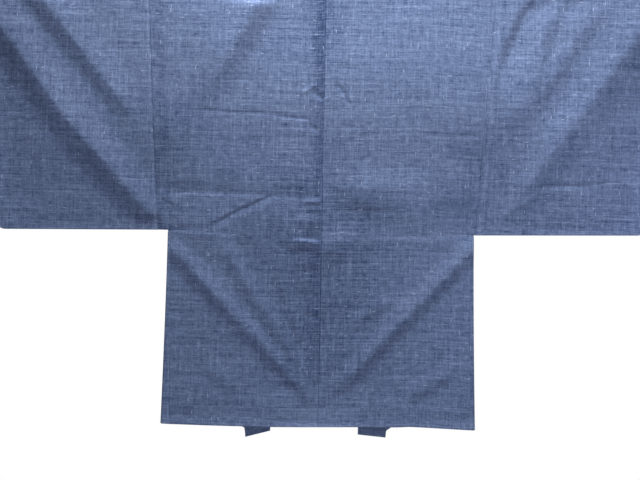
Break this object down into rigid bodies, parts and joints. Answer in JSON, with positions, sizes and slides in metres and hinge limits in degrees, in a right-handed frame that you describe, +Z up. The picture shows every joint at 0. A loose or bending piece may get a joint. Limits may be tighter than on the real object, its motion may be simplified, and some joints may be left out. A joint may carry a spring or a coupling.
{
  "type": "haori on a kimono hanger",
  "caption": "Indigo slub-weave haori hung flat on a straight bar with a wire hook: square sleeves, side gussets, open fronts and a folded collar band to the hem.",
  "frame": {"origin": "inside top of the hook, where a rail or a peg carries the hanger", "axes": "+Z up, the back of the garment faces -Y and its open fronts face +Y, +X runs along the bar to the right as seen from behind"},
  "size_m": [1.324, 0.0439, 1.0336],
  "materials": {
    "indigo_pongee": "matt slubbed silk pongee with pale flecks",
    "bar_wood": "smooth, thinly varnished",
    "hook_steel": "drawn wire, satin"
  },
  "bodies": {
    "root": {"body_left": "indigo_pongee", "body_right": "indigo_pongee", "sleeve_left": "indigo_pongee", "sleeve_right": "indigo_pongee", "machi_left": "indigo_pongee", "machi_right": "indigo_pongee", "collar": "indigo_pongee", "hanger_bar": "bar_wood", "hanger_hook": "hook_steel"}
  },
  "joints": []
}
